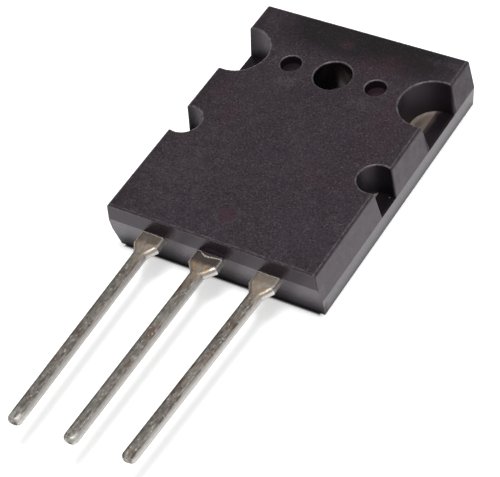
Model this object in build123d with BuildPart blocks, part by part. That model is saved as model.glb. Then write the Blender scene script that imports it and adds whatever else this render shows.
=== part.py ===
from build123d import *
from math import atan, degrees
import os

os.makedirs("parts", exist_ok=True)

# Moulded body: lengths in mm, lying on its back, +Z out of the front face, leads towards -Y
body_width = 20.0  # across the parting edges of the long sides
body_length = 26.0  # from the parting edge at the lead end to the one at the far end
body_height = 5.0
far_end_y = 5.9  # the origin is the mounting hole's axis, on the back face
lead_end_y = far_end_y - body_length
side_top_inset = 0.20  # how far the faces lean in from the parting edges
side_bottom_inset = 0.28
lead_end_top_inset = 0.15
lead_end_bottom_inset = 0.50
far_end_top_inset = 0.10
far_end_bottom_inset = 0.05
front_edge_radius = 0.28  # rounded edge of the front face along the sides and the far end
lead_end_edge_radius = 0.08
far_corner_radius = 0.15
rim_radius = 0.12  # worn edge around the hole, the recesses and the notches

# Mounting hole, blind recesses and ejector mark in the front face
mounting_hole_radius = 1.65
recess_radius = 0.92
recess_depth = 0.80
ejector_mark_radius = 0.95
ejector_mark_depth = 0.05
ejector_mark_from_end = 3.10

# Side notches, which narrow from the front face down to the plate
large_notch_radius = 2.65
large_notch_draft = 0.43  # how much smaller the radius is at the notch's floor
large_notch_from_side = 0.80  # from the side's parting edge in to the notch's centre
small_notch_radius = 1.53
small_notch_draft = 0.20
small_notch_from_side = 0.88
small_notch_from_hole = 9.12

# Collector plate, bare on the back of the body
plate_thickness = 2.0
plate_side_margin = 1.6  # resin beyond the plate at the sides, the far end and the lead end
plate_far_margin = 1.6
plate_lead_margin = 4.6
plate_corner_radius = 1.0

# Leads: the outer two and the one that belongs to the plate
lead_pitch = 5.45
lead_width = 1.25
lead_thickness = 0.80
lead_underside = 2.65
lead_top = lead_underside + lead_thickness
lead_edge_radius = 0.37
outer_shoulder_width = 2.35
centre_shoulder_width = 2.75
shoulder_length = 1.20
shoulder_flare_length = 0.95
shoulder_corner_radius = 0.45
shoulder_root_radius = 1.10
tip_corner_radius = 0.50
left_lead_length = 20.3
centre_lead_length = 20.0
right_lead_length = 19.6
left_lead_lean = 0.25  # sideways drift of each tip, as handled leads lie
centre_lead_lean = -0.20
right_lead_lean = -0.62

# Bond pads at the inner ends of the outer leads, and the centre lead's step down to the plate
pad_neck_length = 1.1
pad_length = 2.3
pad_width = 3.4
pad_corner_radius = 0.30
step_start = 1.8
step_end = 4.0

# Chip, its solder and the two bond wires
chip_size = 5.6
chip_thickness = 0.30
chip_from_end = 10.2
solder_margin = 0.30
solder_thickness = 0.08
chip_top = plate_thickness + solder_thickness + chip_thickness
base_wire_radius = 0.15
emitter_wire_radius = 0.22
wire_cover = 0.30  # how far under the front face the loops are drawn up towards
wire_foot_length = 0.70
wire_bond_sink_share = 0.45  # share of the wire's radius that the bond flattens
wire_bond_reach = 1.4  # how far around its end a bond is flat
wire_rise_share = 0.23  # where along the span the loop rises, runs over and falls
wire_climb_share = 0.26
wire_crest_share = 0.49
wire_fall_share = 0.74
pad_bond_share = 0.35  # where along the pad the wire's foot starts
base_bond_x = -1.5
emitter_bond_x = 1.2
chip_bond_y_share = 0.12

half_width = body_width / 2
plate_width = body_width - 2 * plate_side_margin
large_notch_x = half_width - large_notch_from_side
small_notch_x = half_width - small_notch_from_side
recess_offset_x = (mounting_hole_radius + large_notch_x - large_notch_radius) / 2  # midway, hole to notch
notch_depth = body_height - plate_thickness
wire_pull_height = body_height - wire_cover
plate_near_y = lead_end_y + plate_lead_margin
plate_far_y = far_end_y - plate_far_margin
chip_y = lead_end_y + chip_from_end
pad_bond_y = lead_end_y + pad_neck_length + pad_length * pad_bond_share
chip_bond_y = chip_y - chip_size * chip_bond_y_share


def lead_outline(centre_x, shoulder, inner_y, lean, length):
    half_shoulder = shoulder / 2
    half_lead = lead_width / 2
    shoulder_y = lead_end_y - shoulder_length
    flare_y = shoulder_y - shoulder_flare_length
    tip_y = lead_end_y - length
    tip_x = centre_x + lean
    return [
        (centre_x - half_shoulder, inner_y),
        (centre_x - half_shoulder, shoulder_y),
        (centre_x - half_lead, flare_y),
        (tip_x - half_lead, tip_y),
        (tip_x + half_lead, tip_y),
        (centre_x + half_lead, flare_y),
        (centre_x + half_shoulder, shoulder_y),
        (centre_x + half_shoulder, inner_y),
    ]


def round_lead_corners(sketch):
    corners = sketch.vertices().sort_by(Axis.Y)
    tip_corners = corners[0:2]
    root_corners = corners[2:4]
    shoulder_corners = corners[4:6]
    fillet(tip_corners, radius=tip_corner_radius)
    fillet(root_corners, radius=shoulder_root_radius)
    fillet(shoulder_corners, radius=shoulder_corner_radius)


# Base lead, on the left seen from the front with the leads down
with BuildPart() as base_lead:
    with BuildSketch(Plane.XY.offset(lead_underside)) as base_plan:
        with BuildLine():
            Polyline(
                *lead_outline(
                    -lead_pitch,
                    outer_shoulder_width,
                    lead_end_y + pad_neck_length,
                    left_lead_lean,
                    left_lead_length,
                ),
                close=True,
            )
        make_face()
        round_lead_corners(base_plan)
    extrude(amount=lead_thickness)
    with BuildSketch(Plane.XY.offset(lead_underside)):
        with Locations((-lead_pitch, lead_end_y + pad_neck_length + pad_length / 2)):
            RectangleRounded(pad_width, pad_length, pad_corner_radius)
    extrude(amount=lead_thickness)
    level = base_lead.edges().filter_by(Plane.XY)
    fillet(level.filter_by(lambda e: e.center().Y < lead_end_y + pad_neck_length), radius=lead_edge_radius)

# Emitter lead, on the right
with BuildPart() as emitter_lead:
    with BuildSketch(Plane.XY.offset(lead_underside)) as emitter_plan:
        with BuildLine():
            Polyline(
                *lead_outline(
                    lead_pitch,
                    outer_shoulder_width,
                    lead_end_y + pad_neck_length,
                    right_lead_lean,
                    right_lead_length,
                ),
                close=True,
            )
        make_face()
        round_lead_corners(emitter_plan)
    extrude(amount=lead_thickness)
    with BuildSketch(Plane.XY.offset(lead_underside)):
        with Locations((lead_pitch, lead_end_y + pad_neck_length + pad_length / 2)):
            RectangleRounded(pad_width, pad_length, pad_corner_radius)
    extrude(amount=lead_thickness)
    level = emitter_lead.edges().filter_by(Plane.XY)
    fillet(level.filter_by(lambda e: e.center().Y < lead_end_y + pad_neck_length), radius=lead_edge_radius)

# Collector plate with the centre lead, one piece of metal
with BuildPart() as collector_plate:
    with BuildSketch(Plane.XY.offset(lead_underside)) as centre_plan:
        with BuildLine():
            Polyline(
                *lead_outline(
                    0,
                    centre_shoulder_width,
                    lead_end_y + step_start,
                    centre_lead_lean,
                    centre_lead_length,
                ),
                close=True,
            )
        make_face()
        round_lead_corners(centre_plan)
    extrude(amount=lead_thickness)
    level = collector_plate.edges().filter_by(Plane.XY)
    fillet(level.sort_by(Axis.Y)[:-2], radius=lead_edge_radius)
    # step from the lead's level down to the plate's front face
    with BuildSketch(Plane.YZ):
        with BuildLine():
            Polyline(
                (lead_end_y + step_start, lead_underside),
                (lead_end_y + step_start, lead_top),
                (lead_end_y + step_end, plate_thickness),
                (plate_near_y + lead_thickness, plate_thickness),
                (plate_near_y + lead_thickness, plate_thickness - lead_thickness),
                (lead_end_y + step_end, plate_thickness - lead_thickness),
                close=True,
            )
        make_face()
    extrude(amount=centre_shoulder_width / 2, both=True)
    # plate with the mounting hole
    with BuildSketch():
        with Locations((0, (plate_near_y + plate_far_y) / 2)):
            RectangleRounded(plate_width, plate_far_y - plate_near_y, plate_corner_radius)
        Circle(mounting_hole_radius, mode=Mode.SUBTRACT)
    extrude(amount=plate_thickness)

# Solder under the chip
with BuildPart() as die_solder:
    with BuildSketch(Plane.XY.offset(plate_thickness)):
        with Locations((0, chip_y)):
            Rectangle(chip_size + 2 * solder_margin, chip_size + 2 * solder_margin)
    extrude(amount=solder_thickness)

# Chip
with BuildPart() as silicon_chip:
    with BuildSketch(Plane.XY.offset(plate_thickness + solder_thickness)):
        with Locations((0, chip_y)):
            Rectangle(chip_size, chip_size)
    extrude(amount=chip_thickness)


def wire_plane(start_x, start_y, end_x, end_y):
    return Plane(
        origin=(start_x, start_y, 0),
        x_dir=(end_x - start_x, end_y - start_y, 0),
        z_dir=(end_y - start_y, start_x - end_x, 0),
    )


# Base bond wire, from the base lead's pad to the chip
base_span = ((base_bond_x + lead_pitch) ** 2 + (chip_bond_y - pad_bond_y) ** 2) ** 0.5
base_sink = base_wire_radius * (1 - wire_bond_sink_share)
base_pad_z = lead_top + base_sink
base_chip_z = chip_top + base_sink
base_plane = wire_plane(-lead_pitch, pad_bond_y, base_bond_x, chip_bond_y)
with BuildPart() as base_wire:
    with BuildLine(base_plane) as base_path:
        Line((0, base_pad_z), (wire_foot_length, base_pad_z))
        Bezier(
            (wire_foot_length, base_pad_z),
            (base_span * wire_rise_share, base_pad_z),
            (base_span * wire_climb_share, wire_pull_height),
            (base_span * wire_crest_share, wire_pull_height),
            (base_span * wire_fall_share, base_chip_z),
            (base_span - wire_foot_length, base_chip_z),
        )
        Line((base_span - wire_foot_length, base_chip_z), (base_span, base_chip_z))
    with BuildSketch(Plane(base_path.line @ 0, z_dir=base_path.line % 0)):
        Circle(base_wire_radius)
    sweep()
    # flat undersides of the two bonds
    with BuildSketch(Plane.XY.offset(lead_top)):
        with Locations((-lead_pitch, pad_bond_y)):
            Circle(wire_bond_reach)
    extrude(amount=-lead_thickness, mode=Mode.SUBTRACT)
    with BuildSketch(Plane.XY.offset(chip_top)):
        with Locations((base_bond_x, chip_bond_y)):
            Circle(wire_bond_reach)
    extrude(amount=-chip_thickness, mode=Mode.SUBTRACT)

# Emitter bond wire, thicker, from the emitter lead's pad to the chip
emitter_span = ((lead_pitch - emitter_bond_x) ** 2 + (chip_bond_y - pad_bond_y) ** 2) ** 0.5
emitter_sink = emitter_wire_radius * (1 - wire_bond_sink_share)
emitter_pad_z = lead_top + emitter_sink
emitter_chip_z = chip_top + emitter_sink
emitter_plane = wire_plane(lead_pitch, pad_bond_y, emitter_bond_x, chip_bond_y)
with BuildPart() as emitter_wire:
    with BuildLine(emitter_plane) as emitter_path:
        Line((0, emitter_pad_z), (wire_foot_length, emitter_pad_z))
        Bezier(
            (wire_foot_length, emitter_pad_z),
            (emitter_span * wire_rise_share, emitter_pad_z),
            (emitter_span * wire_climb_share, wire_pull_height),
            (emitter_span * wire_crest_share, wire_pull_height),
            (emitter_span * wire_fall_share, emitter_chip_z),
            (emitter_span - wire_foot_length, emitter_chip_z),
        )
        Line((emitter_span - wire_foot_length, emitter_chip_z), (emitter_span, emitter_chip_z))
    with BuildSketch(Plane(emitter_path.line @ 0, z_dir=emitter_path.line % 0)):
        Circle(emitter_wire_radius)
    sweep()
    # flat undersides of the two bonds
    with BuildSketch(Plane.XY.offset(lead_top)):
        with Locations((lead_pitch, pad_bond_y)):
            Circle(wire_bond_reach)
    extrude(amount=-lead_thickness, mode=Mode.SUBTRACT)
    with BuildSketch(Plane.XY.offset(chip_top)):
        with Locations((emitter_bond_x, chip_bond_y)):
            Circle(wire_bond_reach)
    extrude(amount=-chip_thickness, mode=Mode.SUBTRACT)

# Moulded body around everything else
with BuildPart() as moulded_body:
    # cross-section over the width, with its parting edges level with the plate's front face
    with BuildSketch(Plane.XZ.offset(-far_end_y)):
        with BuildLine():
            Polyline(
                (side_bottom_inset - half_width, 0),
                (half_width - side_bottom_inset, 0),
                (half_width, plate_thickness),
                (half_width - side_top_inset, body_height),
                (side_top_inset - half_width, body_height),
                (-half_width, plate_thickness),
                close=True,
            )
        make_face()
    extrude(amount=body_length)
    # cross-section along the length, parted at the leads' front face at the lead end
    with BuildSketch(Plane.YZ):
        with BuildLine():
            Polyline(
                (lead_end_y + lead_end_bottom_inset, 0),
                (far_end_y - far_end_bottom_inset, 0),
                (far_end_y, plate_thickness),
                (far_end_y - far_end_top_inset, body_height),
                (lead_end_y + lead_end_top_inset, body_height),
                (lead_end_y, lead_top),
                close=True,
            )
        make_face()
    extrude(amount=half_width, both=True, mode=Mode.INTERSECT)
    front_edges = moulded_body.faces().sort_by(Axis.Z)[-1].edges().sort_by(Axis.Y)
    fillet(front_edges[1:], radius=front_edge_radius)
    front_edges = moulded_body.faces().sort_by(Axis.Z)[-1].edges().sort_by(Axis.Y)
    fillet(front_edges[0], radius=lead_end_edge_radius)
    upright = moulded_body.edges().filter_by(Plane.XY, reverse=True)
    fillet(upright.filter_by(lambda e: e.center().Y > 0), radius=far_corner_radius)
    # mounting hole and blind recesses
    with BuildSketch(Plane.XY.offset(body_height)):
        Circle(mounting_hole_radius)
    extrude(amount=-body_height, mode=Mode.SUBTRACT)
    with BuildSketch(Plane.XY.offset(body_height)):
        with Locations((-recess_offset_x, 0), (recess_offset_x, 0)):
            Circle(recess_radius)
    extrude(amount=-recess_depth, mode=Mode.SUBTRACT)
    front_edges = moulded_body.faces().sort_by(Axis.Z)[-1].edges()
    fillet(front_edges.filter_by(lambda e: e.is_closed), radius=rim_radius)
    # large and small notches in the long sides
    with BuildSketch(Plane.XY.offset(body_height)):
        with Locations((-large_notch_x, 0), (large_notch_x, 0)):
            Circle(large_notch_radius)
    extrude(amount=-notch_depth, taper=degrees(atan(large_notch_draft / notch_depth)), mode=Mode.SUBTRACT)
    with BuildSketch(Plane.XY.offset(body_height)):
        with Locations((-small_notch_x, -small_notch_from_hole), (small_notch_x, -small_notch_from_hole)):
            Circle(small_notch_radius)
    extrude(amount=-notch_depth, taper=degrees(atan(small_notch_draft / notch_depth)), mode=Mode.SUBTRACT)
    notch_edges = moulded_body.faces().sort_by(Axis.Z)[-1].edges().filter_by(GeomType.CIRCLE)
    fillet(notch_edges.filter_by(lambda e: not e.is_closed), radius=rim_radius)
    # shallow ejector mark
    with BuildSketch(Plane.XY.offset(body_height)):
        with Locations((0, lead_end_y + ejector_mark_from_end)):
            Circle(ejector_mark_radius)
    extrude(amount=-ejector_mark_depth, mode=Mode.SUBTRACT)
    # room for the metal and the chip that the resin was moulded around
    add(collector_plate.part, mode=Mode.SUBTRACT)
    add(base_lead.part, mode=Mode.SUBTRACT)
    add(emitter_lead.part, mode=Mode.SUBTRACT)
    add(die_solder.part, mode=Mode.SUBTRACT)
    add(silicon_chip.part, mode=Mode.SUBTRACT)
    add(base_wire.part, mode=Mode.SUBTRACT)
    add(emitter_wire.part, mode=Mode.SUBTRACT)

moulded_body.part.label = "moulded_body"
collector_plate.part.label = "collector_plate"
base_lead.part.label = "base_lead"
emitter_lead.part.label = "emitter_lead"
die_solder.part.label = "die_solder"
silicon_chip.part.label = "silicon_chip"
base_wire.part.label = "base_wire"
emitter_wire.part.label = "emitter_wire"

export_step(moulded_body.part, "parts/moulded_body.step")
export_step(collector_plate.part, "parts/collector_plate.step")
export_step(base_lead.part, "parts/base_lead.step")
export_step(emitter_lead.part, "parts/emitter_lead.step")
export_step(die_solder.part, "parts/die_solder.step")
export_step(silicon_chip.part, "parts/silicon_chip.step")
export_step(base_wire.part, "parts/base_wire.step")
export_step(emitter_wire.part, "parts/emitter_wire.step")
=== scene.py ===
import bmesh
import bpy
from mathutils import Matrix, Vector, noise


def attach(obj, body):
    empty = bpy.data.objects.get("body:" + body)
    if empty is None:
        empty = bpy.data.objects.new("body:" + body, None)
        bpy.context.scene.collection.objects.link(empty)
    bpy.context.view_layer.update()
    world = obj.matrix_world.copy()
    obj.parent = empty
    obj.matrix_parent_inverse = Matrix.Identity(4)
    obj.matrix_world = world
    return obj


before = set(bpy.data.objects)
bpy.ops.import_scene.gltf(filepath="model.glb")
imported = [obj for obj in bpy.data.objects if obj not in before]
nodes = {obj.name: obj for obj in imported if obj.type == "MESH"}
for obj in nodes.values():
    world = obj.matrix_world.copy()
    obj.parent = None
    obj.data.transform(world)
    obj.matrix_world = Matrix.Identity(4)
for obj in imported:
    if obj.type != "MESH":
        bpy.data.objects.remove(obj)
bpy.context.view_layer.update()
mm = 0.001
print("frame loaded:", len(nodes), "nodes")


# one shader value; Python operators on it add Math nodes
class Val:
    def __init__(self, tree, socket):
        self.tree = tree
        self.socket = socket

    # any node: its type, its settings, its inputs, and which output to carry on with
    def node(self, kind, settings=None, inputs=None, out=0):
        made = self.tree.nodes.new(kind)
        for name, value in (settings or {}).items():
            setattr(made, name, value)
        for key, value in (inputs or {}).items():
            if isinstance(value, Val):
                self.tree.links.new(value.socket, made.inputs[key])
            else:
                made.inputs[key].default_value = value
        return Val(self.tree, made.outputs[out])

    def calc(self, operation, *values):
        return self.node("ShaderNodeMath", {"operation": operation}, dict(enumerate(values)))

    def __add__(self, other):
        return self.calc("ADD", self, other)

    def __radd__(self, other):
        return self.calc("ADD", other, self)

    def __sub__(self, other):
        return self.calc("SUBTRACT", self, other)

    def __rsub__(self, other):
        return self.calc("SUBTRACT", other, self)

    def __mul__(self, other):
        return self.calc("MULTIPLY", self, other)

    def __rmul__(self, other):
        return self.calc("MULTIPLY", other, self)

    def __truediv__(self, other):
        return self.calc("DIVIDE", self, other)

    def __abs__(self):
        return self.calc("ABSOLUTE", self)

    def root(self):
        return self.calc("SQRT", self)

    def sign(self):
        return self.calc("SIGN", self)

    def highest(self, other):
        return self.calc("MAXIMUM", self, other)

    # 0 at start and 1 at end, smoothly, whichever of the two is larger
    def ease(self, start, end):
        return self.node(
            "ShaderNodeMapRange",
            {"interpolation_type": "SMOOTHSTEP"},
            {"Value": self, "From Min": start, "From Max": end, "To Min": 0.0, "To Max": 1.0},
        )

    # 1 close to place, fading to 0 at width from it
    def near(self, place, width):
        return abs(self - place).ease(width, width * 0.25)

    # a cloud's swing about its middle, which is 0.5
    def swing(self, amount):
        return (self - 0.5) * amount


def mixColour(factor, first, second):
    return factor.node("ShaderNodeMix", {"data_type": "RGBA"}, {0: factor, 6: first, 7: second}, out=2)


def rgb(red, green, blue):
    return (red, green, blue, 1.0)


# the x, y and z of a vector
def parts(vector):
    split = vector.node("ShaderNodeSeparateXYZ", None, {0: vector}).socket.node
    return [Val(vector.tree, socket) for socket in split.outputs]


# a new material: its shader node, and the place on the piece in millimetres as a vector and as x, y, z
def startMaterial(name):
    made = bpy.data.materials.new(name)
    made.use_nodes = True
    shader = made.node_tree.nodes["Principled BSDF"]
    place = Val(made.node_tree, None).node("ShaderNodeTexCoord", out=3)
    inMm = place.node("ShaderNodeVectorMath", {"operation": "SCALE"}, {0: place, 3: 1.0 / mm})
    return made, shader, inMm, *parts(inMm)


def feed(shader, name, value):
    value.tree.links.new(value.socket, shader.inputs[name])


# cloudy values about 0.5 with grains of the given size in mm, drawn out along an axis by stretch
def cloud(place, size, detail=2.0, rough=0.5, stretch=(1.0, 1.0, 1.0), shift=(0.0, 0.0, 0.0)):
    turned = place.node(
        "ShaderNodeMapping",
        None,
        {"Vector": place, "Location": shift, "Scale": tuple(1.0 / (size * s) for s in stretch)},
    )
    return turned.node(
        "ShaderNodeTexNoise", None, {"Vector": turned, "Scale": 1.0, "Detail": detail, "Roughness": rough}
    )


# relief for a shader's normal; the distance is in metres
def bumpOf(height, strength, distance):
    return height.node(
        "ShaderNodeBump", None, {"Height": height, "Strength": strength, "Distance": distance}
    )


# distance from a centre, looking along z
def awayFrom(x, y, centre):
    overX = x - centre[0]
    overY = y - centre[1]
    return (overX * overX + overY * overY).root()


# the moulded body: the places that its wear and its painted light and shade follow, in mm, its colours
# and how much of each there is
resin = {
    # centres of the round cuts, those in pairs on the right
    "holeAt": (0.0, 0.0),
    "recessAt": (4.10, 0.0),
    "largeAt": (9.20, 0.0),
    "smallAt": (9.12, -9.12),
    "markAt": (0.0, -17.0),
    "glintAt": (9.48, -8.13),
    # distances from those centres, from none to full
    "bore": (1.68, 1.63),
    "recess": (0.95, 0.90),
    "recessFloor": (0.92, 0.87),
    "largeWall": (2.67, 2.64),
    "smallWall": (1.55, 1.52),
    "largeSill": (2.70, 2.60),
    "smallSill": (1.60, 1.50),
    "film": (1.00, 0.50),
    "paintedGlint": (0.07, 0.035),
    # rims and edges: place and width
    "holeRim": (1.71, 0.13),
    "recessRim": (0.98, 0.12),
    "largeRim": (2.70, 0.13),
    "smallRim": (1.58, 0.12),
    "markRim": (0.95, 0.22),
    "sideRim": (9.64, 0.12),
    "farRim": (5.60, 0.09),
    "leadRim": (-19.76, 0.09),
    "partingY": (-20.1, 0.06),
    "partingZ": (3.45, 0.06),
    "sillZ": (2.0, 0.05),
    # stretches along an axis, from none to full
    "dustZ": (4.82, 4.96),
    "rimZ": (4.86, 4.98),
    "markZ": (4.80, 4.88),
    "cutZ": (4.90, 4.80),
    "wallZ": (2.02, 2.08),
    "slopeZ": (1.9, 2.1),
    "glintZ": (2.5, 2.3),
    "sheenZ": (1.6, 2.6),
    "sheenTopZ": (3.45, 3.40),
    "footZ": (1.9, 0.6),
    "leadFaceY": (-19.0, -19.4),
    "farY": (0.5, 4.3),
    "slopeY": (-14.0, 5.0),
    "farX": (10.5, 4.5),
    "farMiddle": 1.0,
    "leftX": (-6.5, -10.0),
    "longSideX": (9.60, 9.70),
    "slopeX": (9.70, 9.80),
    "sillX": (9.97, 9.90),
    "brownX": (8.95, 8.2),
    "blushX": (0.0, 2.0),
    "clean": rgb(0.0130, 0.0080, 0.0130),
    "flushed": rgb(0.0215, 0.0135, 0.0190),
    "dark": rgb(0.0040, 0.0030, 0.0042),
    "dusty": rgb(0.0214, 0.0148, 0.0198),
    "pale": rgb(0.0335, 0.0252, 0.0318),
    "smearAndSheen": rgb(0.0440, 0.0360, 0.0420),
    "worn": rgb(0.1500, 0.1380, 0.1420),
    "reddish": rgb(0.0420, 0.0150, 0.0200),
    "greenish": rgb(0.0028, 0.0026, 0.0020),
    "browned": rgb(0.0900, 0.0640, 0.0570),
    "sheen": rgb(0.95, 0.80, 0.93),
    "ior": 1.46,
    # soft spots on the front face: place, half sizes and amount
    "redSmudges": (
        (3.6, 2.4, 2.6, 1.6, 0.40),
        (7.0, -3.8, 1.7, 4.5, 0.32),
        (5.6, -10.6, 2.4, 1.2, 0.40),
        (-0.7, 3.7, 0.7, 0.6, 0.50),
        (-8.0, -4.8, 0.7, 0.9, 0.55),
        (-5.8, -7.3, 0.8, 1.2, 0.35),
    ),
    "paleSmudges": (
        (-3.4, -2.2, 1.1, 1.1, 0.75),
        (-5.4, 0.4, 0.8, 1.3, 0.60),
        (3.7, -2.1, 1.5, 0.8, 0.75),
        (8.5, -14.2, 1.0, 1.0, 0.40),
        (8.2, 4.6, 1.7, 0.5, 0.50),
        (-8.4, 4.3, 1.2, 0.9, 0.30),
        (-6.5, -14.0, 4.5, 5.0, 0.45),
    ),
    "smudgeFade": 1.6,
    # the way in which the painted highlight on the rims is strongest, and the least of it
    "highlightWay": (-0.66, 0.75),
    "highlightLeast": 0.35,
    # how strongly each layer covers the ones before it
    "share": {
        "left": 0.40,
        "patch": 0.60,
        "shade": 0.92,
        "sideDust": 0.50,
        "flushed": 0.90,
        "grain": 0.20,
        "grainTop": 0.65,
        "shadeClears": 0.70,
        "speck": 0.03,
        "speckTop": 0.27,
        "edges": 0.55,
        "rimWearAndHighlight": 0.65,
        "parting": 0.50,
        "leadFace": 0.80,
        "foot": 0.85,
        "recess": 0.25,
        "cutShade": 0.95,
        "browned": 0.75,
        "blush": 0.30,
        "film": 0.45,
        "markRim": 0.10,
    },
    # roughness, and what adds to it
    "rough": {
        "plain": 0.23,
        "top": 0.11,
        "grain": 0.18,
        "patch": 0.12,
        "walls": 0.24,
        "foot": 0.25,
        "bore": -0.06,
        "slope": 0.06,
        "slopeFar": 0.24,
        "slopeMottle": 0.40,
    },
    "sideRelief": 0.15,
    "bump": (0.45, 0.00003),
}


def smudge(x, y, spots):
    total = None
    for atX, atY, halfX, halfY, amount in spots:
        overX = (x - atX) / halfX
        overY = (y - atY) / halfY
        one = (overX * overX + overY * overY).ease(resin["smudgeFade"], 0.0) * amount
        total = one if total is None else total.highest(one)
    return total


# painted highlight on the rims, strongest on the side away from the leads and to the left
def highlightSide(wayX, wayY):
    towardLight = wayY * resin["highlightWay"][1] + wayX * resin["highlightWay"][0]
    return resin["highlightLeast"] + towardLight.ease(-0.6, 0.8) * (1.0 - resin["highlightLeast"])


# distances from the centres of the large and the small notch, on either side of the body
def notchDistances(x, y):
    return awayFrom(abs(x), y, resin["largeAt"]), awayFrom(abs(x), y, resin["smallAt"])


def resinMaterial():
    made, shader, place, x, y, z = startMaterial("mouldedResin")
    share = resin["share"]
    flatX = abs(x)
    grain = cloud(place, size=0.20, detail=2.0, rough=0.6)
    speck = cloud(place, size=0.13, detail=1.0, rough=0.5, shift=(7.0, 3.0, 1.0))
    mottle = cloud(place, size=0.80, detail=3.0, rough=0.55, shift=(2.0, 9.0, 4.0))
    patch = cloud(place, size=4.5, detail=3.0, rough=0.55, shift=(5.0, 1.0, 8.0))
    tint = cloud(place, size=2.2, detail=2.0, rough=0.5, shift=(11.0, 6.0, 2.0))
    chips = cloud(place, size=0.5, detail=3.0, rough=0.6, shift=(3.0, 3.0, 9.0))
    broken = chips.ease(0.30, 0.62)

    # the front face is dusty, but darker and greener towards the far end and the left side
    onTop = z.ease(*resin["dustZ"])
    farAway = y.ease(*resin["farY"]) * abs(x - resin["farMiddle"]).ease(*resin["farX"])
    leftAway = x.ease(*resin["leftX"])
    shade = (farAway + leftAway * share["left"] + patch.swing(share["patch"])).ease(0.0, 0.9)
    dust = mixColour((mottle * 0.6 + patch * 0.4).ease(0.32, 0.72), resin["dusty"], resin["pale"])
    dust = mixColour(shade * share["shade"], dust, resin["greenish"])
    paleSpots = smudge(x, y, resin["paleSmudges"]) * mottle.ease(0.30, 0.60)
    dust = mixColour(paleSpots, dust, resin["smearAndSheen"])
    redSpots = smudge(x, y, resin["redSmudges"]) * tint.ease(0.30, 0.60)
    dust = mixColour(redSpots, dust, resin["reddish"])
    sides = mixColour(mottle.ease(0.40, 0.75) * share["sideDust"], resin["clean"], resin["dusty"])
    sides = mixColour(flatX.ease(*resin["longSideX"]) * share["flushed"], sides, resin["flushed"])
    colour = mixColour(onTop, sides, dust)
    # fine matt grain
    grained = grain.ease(0.56, 0.26) * (share["grain"] + onTop * share["grainTop"])
    colour = mixColour(grained, colour, resin["dark"])
    dusted = onTop * (1.0 - shade * share["shadeClears"])
    specked = speck.ease(0.55, 0.76) * (share["speck"] + dusted * share["speckTop"])
    colour = mixColour(specked, colour, resin["worn"])

    # rims of the cuts in the front face, and its edges, lightened as a painted highlight broken up like
    # wear
    holeFrom = awayFrom(x, y, resin["holeAt"])
    recessFrom = awayFrom(flatX, y, resin["recessAt"])
    largeFrom, smallFrom = notchDistances(x, y)
    recessSide = (flatX - resin["recessAt"][0]) * x.sign()
    rimWearAndHighlight = holeFrom.near(*resin["holeRim"]) * highlightSide(x / holeFrom, y / holeFrom)
    recessRims = recessFrom.near(*resin["recessRim"])
    rimWearAndHighlight = rimWearAndHighlight.highest(recessRims * highlightSide(recessSide / recessFrom, y / recessFrom))
    rimWearAndHighlight = rimWearAndHighlight.highest(largeFrom.near(*resin["largeRim"]))
    rimWearAndHighlight = rimWearAndHighlight.highest(smallFrom.near(*resin["smallRim"]))
    edges = flatX.near(*resin["sideRim"])
    edges = edges.highest(y.near(*resin["farRim"])).highest(y.near(*resin["leadRim"]))
    rimWearAndHighlight = rimWearAndHighlight.highest(edges * share["edges"]) * z.ease(*resin["rimZ"])
    colour = mixColour(rimWearAndHighlight * broken * share["rimWearAndHighlight"], colour, resin["worn"])

    # parting edge at the lead end; below it a painted reflection lightens the lead-end face, and painted
    # shade darkens its foot
    parted = y.near(*resin["partingY"]) * z.near(*resin["partingZ"])
    colour = mixColour(parted * broken * share["parting"], colour, resin["worn"])
    leadFace = y.ease(*resin["leadFaceY"])
    leadFaceSheen = leadFace * z.ease(*resin["sheenZ"]) * z.ease(*resin["sheenTopZ"])
    colour = mixColour(leadFaceSheen * share["leadFace"], colour, resin["smearAndSheen"])
    # painted shade at the foot of the lead-end face
    foot = leadFace * z.ease(*resin["footZ"])
    colour = mixColour(foot * share["foot"], colour, resin["dark"])

    # the cuts below the front face are darkened: painted shade in the bore, the recesses and the notches
    below = z.ease(*resin["cutZ"])
    bore = holeFrom.ease(*resin["bore"])
    deep = bore.highest(recessFrom.ease(*resin["recess"]) * share["recess"])
    wall = largeFrom.ease(*resin["largeWall"]).highest(smallFrom.ease(*resin["smallWall"]))
    wall = wall * z.ease(*resin["wallZ"])
    onSill = z.near(*resin["sillZ"])
    largeSill = largeFrom.ease(*resin["largeSill"])
    sill = largeSill.highest(smallFrom.ease(*resin["smallSill"])) * onSill
    sill = sill * flatX.ease(*resin["sillX"])
    cutShade = deep.highest(wall).highest(sill) * below
    colour = mixColour(cutShade * share["cutShade"], colour, resin["dark"])
    # browned floor of the large notches, a blush in the right recess, and a painted glint on the floor of
    # one small notch
    browned = largeSill * onSill * (flatX + mottle.swing(0.5)).ease(*resin["brownX"])
    colour = mixColour(browned * share["browned"], colour, resin["browned"])
    blushed = recessFrom.ease(*resin["recessFloor"]) * x.ease(*resin["blushX"]) * below
    colour = mixColour(blushed * share["blush"], colour, resin["reddish"])
    paintedGlint = awayFrom(x, y, resin["glintAt"]).ease(*resin["paintedGlint"])
    colour = mixColour(paintedGlint * z.ease(*resin["glintZ"]), colour, resin["worn"])

    # brown film in the ejector mark, and its rim
    markFrom = awayFrom(x, y, resin["markAt"])
    inMark = z.ease(*resin["markZ"])
    film = (markFrom + mottle.swing(0.6)).ease(*resin["film"]) * inMark
    colour = mixColour(film * share["film"], colour, resin["reddish"])
    markRim = markFrom.near(*resin["markRim"]) * broken * inMark
    colour = mixColour(markRim * share["markRim"], colour, resin["worn"])
    feed(shader, "Base Color", colour)

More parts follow.
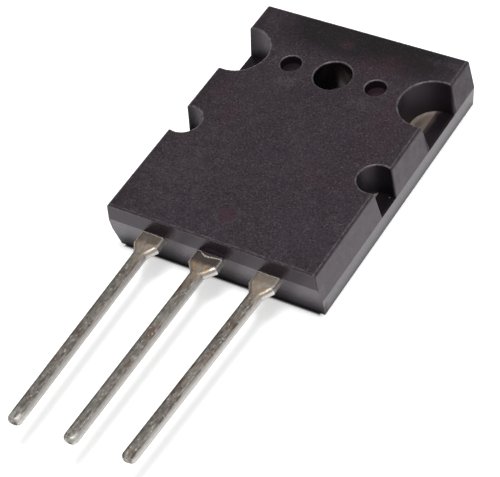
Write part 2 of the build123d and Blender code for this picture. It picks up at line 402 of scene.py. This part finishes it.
    # the long slopes are rubbed dull, most at the far end, and the bore is smooth
    amount = resin["rough"]
    onSlope = flatX.ease(*resin["slopeX"]) * z.ease(*resin["slopeZ"])
    dulled = y.ease(*resin["slopeY"]) * amount["slopeFar"] + mottle.swing(amount["slopeMottle"])
    rough = amount["plain"] + onTop * amount["top"]
    rough = rough + grain.swing(amount["grain"]) + patch.swing(amount["patch"])
    rough = rough + onSlope * (dulled + amount["slope"])
    rough = rough + wall * below * amount["walls"] + foot * amount["foot"]
    feed(shader, "Roughness", rough + bore * below * amount["bore"])
    relief = grain * 0.6 + speck * 0.4 + mottle * 0.5
    relief = relief * (resin["sideRelief"] + onTop * (1.0 - resin["sideRelief"])) * (1.0 - bore)
    feed(shader, "Normal", bumpOf(relief, *resin["bump"]))
    shader.inputs["IOR"].default_value = resin["ior"]
    shader.inputs["Specular Tint"].default_value = resin["sheen"]
    return made


# tinned leads: clean tin, tarnish that also serves as painted shade, a painted lit side, and the gold and
# brown stains of the roots; places in mm
tin = {
    "clean": rgb(0.275, 0.254, 0.224),
    "bright": rgb(0.760, 0.745, 0.710),
    "side": rgb(0.570, 0.548, 0.526),
    "tarnishAndShade": rgb(0.075, 0.060, 0.050),
    "rust": rgb(0.150, 0.085, 0.062),
    "grey": rgb(0.225, 0.215, 0.192),
    "flare": rgb(0.480, 0.435, 0.385),
    "gold": rgb(0.280, 0.185, 0.100),
    "film": rgb(0.020, 0.011, 0.010),
    # stretches along the lead, from none to full
    "tipY": (-38.8, -39.6),
    "flareY": (-23.3, -21.3),
    "goldY": (-24.6, -21.3),
    "edgeY": (-21.6, -21.1),
    "edgeIn": (0.24, 0.10),
    # brown film: where it ends on a clean lead, how much further on a soiled one, and its fade
    "filmEnd": -20.7,
    "filmSoiled": 0.30,
    "filmFade": 0.50,
    # the way a face looks, from none to full, as the x or z of its normal
    "rightSide": (0.40, 0.80),
    "rightRound": (0.05, 0.40),
    "rightCorner": (0.28, 0.22),
    "leftSide": (-0.20, -0.80),
    "front": (0.72, 0.97),
    "under": (0.10, -0.45),
    # how strongly each layer covers the ones before it
    "share": {
        "rust": 0.75,
        "drawn": 0.35,
        "leftShade": 0.80,
        "dull": 0.66,
        "corner": 0.45,
        "under": 0.55,
        "pits": 0.75,
        "glints": 0.50,
        "tip": 0.45,
        "flare": 0.55,
        "gold": 0.28,
        "goldSoiled": 0.50,
        "filmSides": 0.35,
        "film": 0.95,
        "edge": 0.60,
        "filmCovers": 0.92,
        "dullCovers": 0.15,
    },
    # roughness, and what adds to it
    "rough": {"plain": 0.46, "dull": 0.12, "fine": 0.20, "right": 0.18, "rightFlare": 0.26},
    "bump": (0.55, 0.00004),
    # each lead's middle and half width at the shoulder, where its clouds start, and how soiled it is
    "leads": {
        "base_lead": (-5.45, 1.175, (3.0, 1.0, 0.0), 0.78),
        "collector_plate": (0.0, 1.375, (6.0, 2.0, 0.0), 1.0),
        "emitter_lead": (5.45, 1.175, (9.0, 5.0, 0.0), 0.45),
    },
}


# the look of a tinned lead: its colour, metal share, roughness and height for the bump
def tinLook(place, x, y, leadName):
    centre, halfShoulder, shift, soiled = tin["leads"][leadName]
    share = tin["share"]
    stainShift = (shift[0], 8.0, shift[1])
    pitShift = (shift[1], shift[0], 5.0)
    drawn = cloud(place, size=0.10, detail=3.0, rough=0.6, stretch=(1.0, 6.0, 1.0), shift=shift)
    blotch = cloud(place, size=0.50, detail=4.0, rough=0.65, stretch=(1.0, 2.0, 1.0), shift=shift)
    broad = cloud(place, size=1.8, detail=2.0, rough=0.5, stretch=(1.0, 2.0, 1.0), shift=shift)
    fine = cloud(place, size=0.16, detail=2.0, rough=0.6, stretch=(1.0, 1.8, 1.0), shift=shift)
    pits = cloud(place, size=0.30, detail=3.0, rough=0.6, stretch=(1.0, 2.0, 1.0), shift=pitShift)
    stain = cloud(place, size=1.1, detail=3.0, rough=0.6, stretch=(1.0, 2.5, 1.0), shift=stainShift)
    toRight, _, toTop = parts(place.node("ShaderNodeNewGeometry", out=1))
    rightSide = toRight.ease(*tin["rightSide"])
    front = toTop.ease(*tin["front"])
    flare = y.ease(*tin["flareY"])

    # grey and rusty stains, drawing lines, and a painted lighter right side where the lead catches the
    # light
    colour = mixColour(stain.ease(0.50, 0.40), tin["clean"], tin["grey"])
    colour = mixColour(stain.ease(0.52, 0.66) * share["rust"], colour, tin["rust"])
    colour = mixColour(drawn.ease(0.50, 0.80) * share["drawn"], colour, tin["bright"])
    colour = mixColour(rightSide, colour, tin["side"])
    # tarnish in blotches and in pits, and painted shade on the left side, in a band along the right
    # corner and underneath
    dull = (blotch * 0.55 + broad * 0.30 + fine * 0.15).ease(0.42, 0.60) * (1.0 - rightSide)
    dull = dull.highest(toRight.ease(*tin["leftSide"]) * share["leftShade"])
    colour = mixColour(dull * share["dull"], colour, tin["tarnishAndShade"])
    corner = toRight.near(*tin["rightCorner"]) * (1.0 - flare)
    colour = mixColour(corner * share["corner"], colour, tin["tarnishAndShade"])
    colour = mixColour(toTop.ease(*tin["under"]) * share["under"], colour, tin["tarnishAndShade"])
    pitted = pits.ease(0.54, 0.68) * (1.0 - rightSide)
    colour = mixColour(pitted * share["pits"], colour, tin["tarnishAndShade"])
    # glints, and a painted highlight on the tip
    colour = mixColour(fine.ease(0.58, 0.72) * share["glints"], colour, tin["bright"])
    tip = y.ease(*tin["tipY"]) * blotch.ease(0.62, 0.42)
    colour = mixColour(tip * share["tip"], colour, tin["bright"])
    # the flare is lighter, with a gold stain, and brown film covers the root
    colour = mixColour(flare * share["flare"], colour, tin["flare"])
    gold = (y + broad.swing(3.0)).ease(*tin["goldY"]) * front * blotch.ease(0.36, 0.58)
    colour = mixColour(gold * (share["gold"] + soiled * share["goldSoiled"]), colour, tin["gold"])
    filmEnd = tin["filmEnd"] - tin["filmSoiled"] * soiled
    film = (y + blotch.swing(0.9)).ease(filmEnd - tin["filmFade"], filmEnd) * soiled
    edge = (halfShoulder - abs(x - centre)).ease(*tin["edgeIn"]) * y.ease(*tin["edgeY"])
    film = film * (1.0 - edge) * (share["filmSides"] + front * (1.0 - share["filmSides"]))
    colour = mixColour(film * share["film"], colour, tin["film"])
    colour = mixColour(edge * share["edge"], colour, tin["bright"])

    metal = 1.0 - film * share["filmCovers"] - dull * share["dullCovers"]
    amount = tin["rough"]
    rightRough = toRight.ease(*tin["rightRound"]) * (amount["right"] - flare * amount["rightFlare"])
    rough = amount["plain"] + dull * amount["dull"] + fine.swing(amount["fine"]) + rightRough
    height = drawn * 0.3 + blotch * 0.8 + fine * 0.4 - pits * 0.4
    return colour, metal, rough, height


def tinMaterial(name, leadName):
    made, shader, place, x, y, _ = startMaterial(name)
    colour, metal, rough, height = tinLook(place, x, y, leadName)
    feed(shader, "Base Color", colour)
    feed(shader, "Metallic", metal)
    feed(shader, "Roughness", rough)
    feed(shader, "Normal", bumpOf(height, *tin["bump"]))
    return made


# the plate: bare plated copper, stained where resin crept over its front face; places in mm
plate = {
    "clean": rgb(0.390, 0.325, 0.275),
    "bright": rgb(0.620, 0.550, 0.480),
    "stain": rgb(0.165, 0.120, 0.100),
    "frontZ": (1.8, 1.95),
    "leadY": (-18.9, -19.0),
    "bareLarge": (1.62, 2.12),
    "bareSmall": (0.95, 1.25),
    "creptX": (7.6, 8.5),
    "creptSmall": (2.0, 1.4),
    "creptSmallBack": 0.3,
    "share": {"stain": 0.60, "notchStain": 0.85, "crept": 0.80, "creptCovers": 0.92},
    "rough": {"plain": 0.40, "stain": 0.25, "rolled": 0.14},
    "relief": 0.4,
}


def plateMaterial():
    made, shader, place, x, y, z = startMaterial("platedCopper")
    share = plate["share"]
    rolled = cloud(place, size=0.06, detail=3.0, rough=0.6, stretch=(1.0, 40.0, 1.0))
    blotch = cloud(place, size=1.6, detail=4.0, rough=0.6, shift=(4.0, 2.0, 6.0))
    fine = cloud(place, size=0.09, detail=2.0, rough=0.6)
    colour = mixColour(rolled.ease(0.35, 0.75), plate["clean"], plate["bright"])
    stained = blotch.ease(0.50, 0.70) * share["stain"]
    colour = mixColour(stained, colour, plate["stain"])
    # in the notches it is bare along the foot of the wall, then stained, and brown towards the side
    onFront = z.ease(*plate["frontZ"])
    largeFrom, smallFrom = notchDistances(x, y)
    bare = largeFrom.ease(*plate["bareLarge"]) * smallFrom.ease(*plate["bareSmall"])
    colour = mixColour((1.0 - bare) * onFront * share["notchStain"], colour, plate["stain"])
    heldBack = smallFrom.ease(*plate["creptSmall"]) * plate["creptSmallBack"]
    crept = (abs(x) + blotch.swing(0.5) - heldBack).ease(*plate["creptX"]) * onFront
    colour = mixColour(crept * share["crept"], colour, resin["browned"])
    # the centre lead is tinned
    tinColour, tinMetal, tinRough, tinHeight = tinLook(place, x, y, "collector_plate")
    isLead = y.ease(*plate["leadY"])
    isPlate = 1.0 - isLead
    feed(shader, "Base Color", mixColour(isLead, colour, tinColour))
    metal = 1.0 - crept * share["creptCovers"]
    feed(shader, "Metallic", metal * isPlate + tinMetal * isLead)
    amount = plate["rough"]
    rough = amount["plain"] + stained * amount["stain"] + rolled.swing(amount["rolled"])
    feed(shader, "Roughness", rough * isPlate + tinRough * isLead)
    height = (rolled * 0.6 + fine * 0.4) * isPlate * plate["relief"]
    feed(shader, "Normal", bumpOf(height + tinHeight * isLead, *tin["bump"]))
    return made


# inner pieces, which the resin hides; places in mm
inner = {
    "silicon": rgb(0.105, 0.115, 0.140),
    "metalCoat": rgb(0.560, 0.560, 0.570),
    "solder": rgb(0.430, 0.430, 0.450),
    "solderDull": rgb(0.250, 0.250, 0.260),
    "solderGrain": (0.6, (1.0, 1.0, 1.0)),
    "wire": rgb(0.780, 0.780, 0.790),
    "wireDull": rgb(0.520, 0.520, 0.530),
    "wireGrain": (0.08, (1.0, 6.0, 1.0)),
    "chipAt": (0.0, -9.9),
    "coatEdge": (2.55, 2.50),
    "coatZ": (2.35, 2.37),
    "bump": (0.30, 0.00001),
}


def siliconMaterial():
    made, shader, place, x, y, z = startMaterial("siliconChip")
    lapped = cloud(place, size=0.05, detail=2.0, stretch=(8.0, 1.0, 1.0))
    inset = abs(x - inner["chipAt"][0]).highest(abs(y - inner["chipAt"][1]))
    coat = inset.ease(*inner["coatEdge"]) * z.ease(*inner["coatZ"])
    feed(shader, "Base Color", mixColour(coat, inner["silicon"], inner["metalCoat"]))
    feed(shader, "Metallic", 0.25 + coat * 0.75)
    feed(shader, "Roughness", 0.16 + coat * 0.20 + lapped.swing(0.10))
    return made


def softMetalMaterial(name, clean, dull, size, stretch):
    made, shader, place = startMaterial(name)[:3]
    blotch = cloud(place, size, detail=3.0, rough=0.6, stretch=stretch)
    feed(shader, "Base Color", mixColour(blotch.ease(0.35, 0.70), clean, dull))
    feed(shader, "Roughness", 0.28 + blotch.ease(0.35, 0.75) * 0.25)
    feed(shader, "Normal", bumpOf(blotch, *inner["bump"]))
    shader.inputs["Metallic"].default_value = 1.0
    return made


def dress(name, material):
    mesh = nodes[name].data
    mesh.materials.clear()
    mesh.materials.append(material)


dress("moulded_body", resinMaterial())
dress("base_lead", tinMaterial("tinLeft", "base_lead"))
dress("emitter_lead", tinMaterial("tinRight", "emitter_lead"))
dress("collector_plate", plateMaterial())
dress("silicon_chip", siliconMaterial())
solderMetal = softMetalMaterial("dieSolder", inner["solder"], inner["solderDull"], *inner["solderGrain"])
dress("die_solder", solderMetal)
wireMetal = softMetalMaterial("bondWire", inner["wire"], inner["wireDull"], *inner["wireGrain"])
dress("base_wire", wireMetal)
dress("emitter_wire", wireMetal)
print("materials on", len(nodes), "nodes")

# thin resin flash left over each lead's root, in mm
flash = {
    "rootY": -20.1,
    "sunk": 0.03,
    "leadTop": 3.45,
    "leadRound": 0.37,
    "high": 0.055,
    "low": 0.020,
    "thick": 0.060,
    "rows": 6,
    "columns": 48,
    "ragged": 0.035,
    "coarseWaves": 5.0,
    "fineWaves": 13.0,
    "fineShare": 0.5,
    "fineShift": 4.0,
    "least": 0.03,
    "wornShare": 0.34,
    "dark": rgb(0.014, 0.010, 0.011),
    "soft": rgb(0.060, 0.044, 0.040),
    "worn": rgb(0.430, 0.395, 0.355),
    "wornDull": rgb(0.200, 0.175, 0.155),
    "bump": (0.40, 0.00002),
    # its lead, and places across that lead with how far the flash reaches there
    "strips": {
        "flashLeft": (
            "base_lead",
            ((-1.05, 0.08), (-0.6, 0.12), (0.0, 0.10), (0.6, 0.12), (1.05, 0.16)),
        ),
        "flashCentre": (
            "collector_plate",
            (
                (-1.2, 0.04),
                (-0.85, 0.06),
                (-0.55, 0.30),
                (-0.25, 0.46),
                (0.2, 0.42),
                (0.7, 0.30),
                (1.25, 0.24),
            ),
        ),
        "flashRight": (
            "emitter_lead",
            ((-1.05, 0.07), (-0.5, 0.12), (0.1, 0.14), (0.6, 0.10), (1.05, 0.12)),
        ),
    },
}


def flashMaterial(name, first, second):
    made, shader, place = startMaterial(name)[:3]
    mottle = cloud(place, size=0.12, detail=3.0, rough=0.6)
    feed(shader, "Base Color", mixColour(mottle.ease(0.38, 0.66), first, second))
    feed(shader, "Roughness", 0.42 + mottle.swing(0.3))
    feed(shader, "Normal", bumpOf(mottle, *flash["bump"]))
    shader.inputs["IOR"].default_value = resin["ior"]
    return made


# the reach at a place across the lead, in straight lines between the given points
def between(points, at):
    for (x0, reach0), (x1, reach1) in zip(points, points[1:]):
        if at <= x1:
            return reach0 + (reach1 - reach0) * (at - x0) / (x1 - x0)
    return points[-1][1]


def makeFlash(name, leadName, points, materials):
    centre, halfShoulder = tin["leads"][leadName][:2]
    start, end = points[0][0], points[-1][0]
    roundSquared = flash["leadRound"] ** 2
    work = bmesh.new()
    bmesh.ops.create_grid(work, x_segments=flash["columns"], y_segments=flash["rows"], size=0.5)
    for face in work.faces:
        face.material_index = 1 if face.calc_center_median().y < flash["wornShare"] - 0.5 else 0
    for corner in work.verts:
        along = start + (end - start) * (corner.co.x + 0.5)
        share = 0.5 - corner.co.y  # 0 at the body, 1 at the front edge
        drop = max(flash["leadRound"] - (halfShoulder - abs(along)), 0.0)
        level = flash["leadTop"] - flash["leadRound"] + (roundSquared - drop**2) ** 0.5
        coarse = noise.noise(Vector((along * flash["coarseWaves"], centre, 0.0)))
        fine = noise.noise(Vector((along * flash["fineWaves"], centre, flash["fineShift"])))
        ragged = (coarse + flash["fineShare"] * fine) * flash["ragged"]
        reach = max(between(points, along) + ragged, flash["least"])
        y = flash["rootY"] + flash["sunk"] - (reach + flash["sunk"]) * share
        rise = flash["high"] + (flash["low"] - flash["high"]) * share
        corner.co = ((centre + along) * mm, y * mm, (level + rise) * mm)
    bmesh.ops.solidify(work, geom=work.faces[:], thickness=flash["thick"] * mm)
    bmesh.ops.recalc_face_normals(work, faces=work.faces)
    mesh = bpy.data.meshes.new(name)
    work.to_mesh(mesh)
    work.free()
    heights = [corner.co.z / mm for corner in mesh.vertices]
    lowest, highest = round(min(heights), 3), round(max(heights), 3)
    print(name, len(mesh.vertices), "corners, from", lowest, "to", highest, "mm")
    for material in materials:
        mesh.materials.append(material)
    piece = bpy.data.objects.new(name, mesh)
    bpy.context.scene.collection.objects.link(piece)
    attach(piece, "root")


flashLook = [
    flashMaterial("flashResin", flash["dark"], flash["soft"]),
    flashMaterial("flashWorn", flash["wornDull"], flash["worn"]),
]
for flashName, (flashLead, flashPoints) in flash["strips"].items():
    makeFlash(flashName, flashLead, flashPoints, flashLook)
print("flash on the roots:", len(flash["strips"]))

# floor: pale, with painted shade where the part covers it, and white to look at or in a reflection;
# places in mm
stage = {
    "size": 3.0,  # in metres
    "pale": rgb(0.90, 0.90, 0.90),
    "shadowUnderPart": rgb(0.05, 0.05, 0.05),
    "glow": rgb(0.46, 0.46, 0.46),  # added to the lit floor
    "unlitGlow": rgb(1.0, 1.0, 1.0),  # the floor seen through the mounting hole, where no light falls
    "noGlow": rgb(0.0, 0.0, 0.0),
    "roughness": 0.9,
    # outside these the floor is bare
    "sideX": (9.2, 9.5),
    "nearY": (-19.65, -19.95),
    "farY": (5.4, 5.7),
    # just ahead of the lead end its glow isn't mirrored in the part, a painted shade in the lead-end
    # face's reflection
    "aheadY": (-20.85, -19.95),
    "aheadX": (10.1, 9.5),
    # the hole, and a patch of floor in it that glows for its wall to mirror: a painted pool of light
    "holeAt": (0.0, 0.0),
    "hole": (1.85, 1.75),
    "litPatchAt": (-0.95, -0.95),
    "litPatch": (1.0, 0.5),
}


def makeFloor():
    work = bmesh.new()
    bmesh.ops.create_grid(work, x_segments=1, y_segments=1, size=stage["size"] / 2)
    mesh = bpy.data.meshes.new("floor")
    work.to_mesh(mesh)
    work.free()
    floor = bpy.data.objects.new("floor", mesh)
    bpy.context.scene.collection.objects.link(floor)
    made, shader, _, x, y, _ = startMaterial("paleFloor")
    tree = made.node_tree
    bare = abs(x).ease(*stage["sideX"])
    bare = bare.highest(y.ease(*stage["nearY"])).highest(y.ease(*stage["farY"]))
    ahead = y.ease(*stage["aheadY"]) * abs(x).ease(*stage["aheadX"])
    inHole = awayFrom(x, y, stage["holeAt"]).ease(*stage["hole"])
    litPatch = awayFrom(x, y, stage["litPatchAt"]).ease(*stage["litPatch"])
    feed(shader, "Base Color", mixColour(bare, stage["shadowUnderPart"], stage["pale"]))
    ray = tree.nodes.new("ShaderNodeLightPath").outputs
    mirrored = Val(tree, ray["Is Glossy Ray"]).highest(Val(tree, ray["Is Transmission Ray"]))
    direct = Val(tree, ray["Is Camera Ray"]) * bare.highest(inHole)
    seen = direct.highest(mirrored * (bare * (1.0 - ahead)).highest(litPatch))
    glow = mixColour(inHole, stage["glow"], stage["unlitGlow"])
    feed(shader, "Emission Color", mixColour(seen, stage["noGlow"], glow))
    shader.inputs["Emission Strength"].default_value = 1.0
    shader.inputs["Roughness"].default_value = stage["roughness"]
    shader.inputs["Specular IOR Level"].default_value = 0.0
    mesh.materials.append(made)


makeFloor()
print("floor laid")

# light: a grey room with a pale horizon and a paler front wall, and one soft lamp overhead, in metres
light = {
    "wall": 0.20,
    "front": 0.35,
    "frontWay": (0.0, -0.94, 0.34),
    "frontSpread": (-0.1, 0.9),
    "overhead": 0.45,
    "overheadFrom": (0.60, 1.0),
    "horizon": 0.85,
    "horizonFrom": (0.16, 0.05),
    "lampPlace": (0.07, 0.04, 0.89),
    "lampSize": 0.36,
    "lampPower": 5.8,
}


def makeLight():
    world = bpy.data.worlds.new("studio")
    bpy.context.scene.world = world
    world.use_nodes = True
    tree = world.node_tree
    ground = tree.nodes["Background"]
    way = Val(tree, None).node("ShaderNodeTexCoord", out=0)
    height = parts(way)[2]
    frontWay = {0: way, 1: light["frontWay"]}
    ahead = way.node("ShaderNodeVectorMath", {"operation": "DOT_PRODUCT"}, frontWay, out=1)
    low = height.ease(*light["horizonFrom"])
    sky = light["wall"] + ahead.ease(*light["frontSpread"]) * light["front"]
    sky = sky + height.ease(*light["overheadFrom"]) * light["overhead"]
    ground.inputs["Color"].default_value = rgb(1.0, 1.0, 1.0)
    feed(ground, "Strength", sky * (1.0 - low) + light["horizon"] * low)
    lamp = bpy.data.lights.new("softbox", "AREA")
    lamp.shape = "SQUARE"
    lamp.size = light["lampSize"]
    lamp.energy = light["lampPower"]
    holder = bpy.data.objects.new("softbox", lamp)
    bpy.context.scene.collection.objects.link(holder)
    holder.location = light["lampPlace"]
    holder.rotation_mode = "QUATERNION"
    holder.rotation_quaternion = (-Vector(light["lampPlace"])).to_track_quat("-Z", "Y")


makeLight()
print("light set")

# camera, where the photograph was taken from
camera = {
    "place": (0.076046, -0.101859, 0.121553),
    "right": (0.84337731, 0.51242162, -0.16167500),
    "down": (0.28769089, -0.68476077, -0.66957945),
    "forward": (-0.45381568, 0.51819569, -0.72493072),
    "lens": 148.296,
    "sensor": 36.0,
    "nearest": 0.01,
    "furthest": 20.0,
}


def makeCamera():
    lens = bpy.data.cameras.new("camera")
    lens.sensor_width = camera["sensor"]
    lens.lens = camera["lens"]
    lens.clip_start = camera["nearest"]
    lens.clip_end = camera["furthest"]
    eye = bpy.data.objects.new("camera", lens)
    bpy.context.scene.collection.objects.link(eye)
    turn = Matrix((camera["right"], -Vector(camera["down"]), -Vector(camera["forward"]))).transposed()
    eye.matrix_world = Matrix.Translation(camera["place"]) @ turn.to_4x4()
    bpy.context.scene.camera = eye


makeCamera()
bpy.context.scene.view_settings.view_transform = "Standard"
print("camera set")
